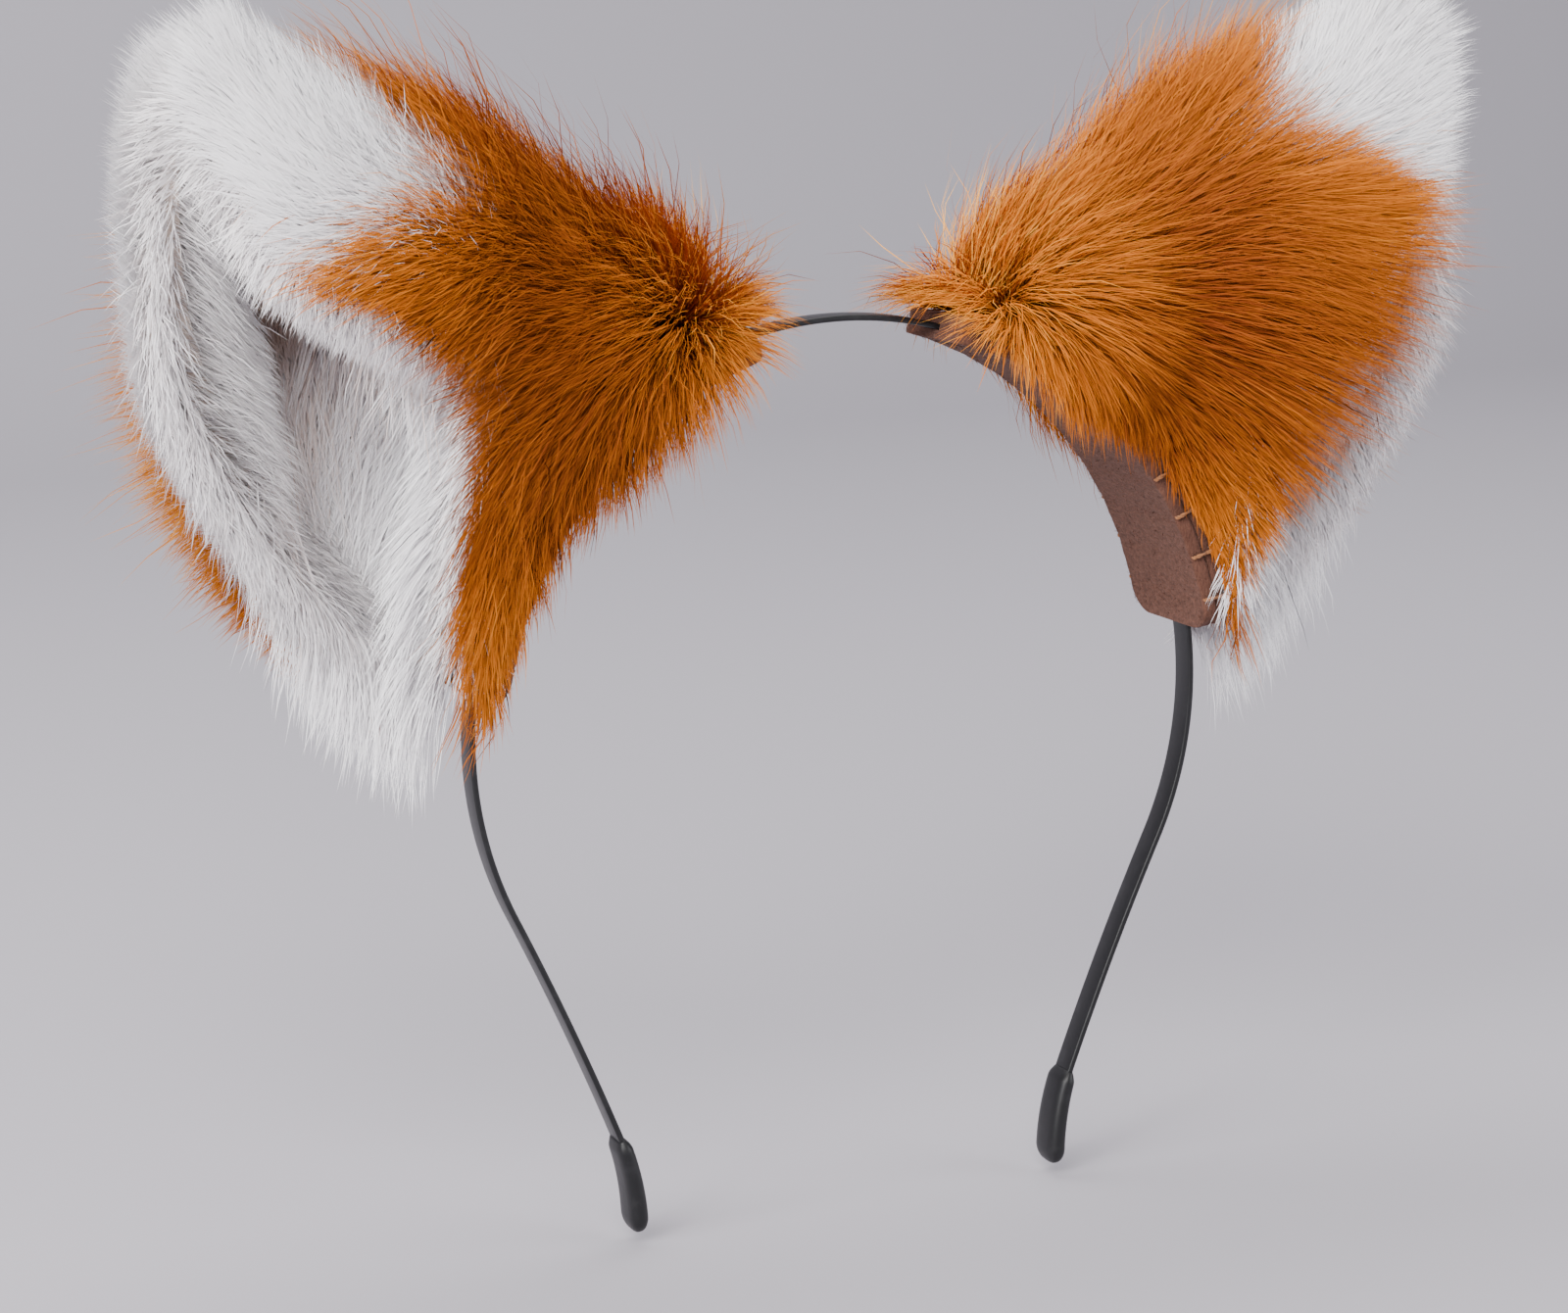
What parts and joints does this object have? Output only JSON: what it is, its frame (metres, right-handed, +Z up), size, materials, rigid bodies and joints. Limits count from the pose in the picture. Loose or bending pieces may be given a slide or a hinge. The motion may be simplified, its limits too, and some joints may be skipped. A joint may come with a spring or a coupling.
{
  "type": "animal ears headband",
  "caption": "Slim sprung hoop headband with dipped tips, carrying large outward-leaning faux fur fox ears with white tips and fluffy white insides.",
  "frame": {"origin": "on the axis of the hoop's round part, which is the axis of a head or display ring, midway across the strip", "axes": "+Z up through the crown, +Y along the ring's axis towards the wearer's back, +X across the span; the wearer faces -Y"},
  "size_m": [0.2444, 0.0582, 0.1982],
  "materials": {
    "painted_steel": "satin black paint on a spring steel strip",
    "dipped_rubber": "satin black dipped rubber",
    "felt": "matte rust-brown felt",
    "thread": "twisted rust-brown sewing thread",
    "orange_fur": "long soft faux fur, rust at the roots and golden at the tips",
    "white_fur": "dense soft white faux fur",
    "white_plush": "short white plush",
    "white_long_fur": "long fluffy white faux fur",
    "rim_wire": "bare steel wire"
  },
  "bodies": {
    "crown": {"band_crown": "painted_steel"},
    "left_side": {"band_arm_left": "painted_steel", "tip_cap_left": "dipped_rubber", "base_pad_left": "felt", "base_wrap_left": "felt", "stitches_left": "thread", "outer_panel_left": "orange_fur", "tip_panel_left": "white_fur", "lining_left": "white_plush", "inner_tuft_left": "white_long_fur", "wire_frame_left": "rim_wire"},
    "right_side": {"band_arm_right": "painted_steel", "tip_cap_right": "dipped_rubber", "base_pad_right": "felt", "base_wrap_right": "felt", "stitches_right": "thread", "outer_panel_right": "orange_fur", "tip_panel_right": "white_fur", "lining_right": "white_plush", "inner_tuft_right": "white_long_fur", "wire_frame_right": "rim_wire"}
  },
  "joints": [
    {"name": "left_flex", "type": "hinge", "parent": "crown", "child": "left_side", "pos_m": [-0.0081, 0, 0.066], "axis": [0, 1, 0], "range_deg": [0, 12], "stiffness_Nm_per_rad": 2.4},
    {"name": "right_flex", "type": "hinge", "parent": "crown", "child": "right_side", "pos_m": [0.0081, 0, 0.066], "axis": [0, -1, 0], "range_deg": [0, 12], "stiffness_Nm_per_rad": 2.4}
  ]
}
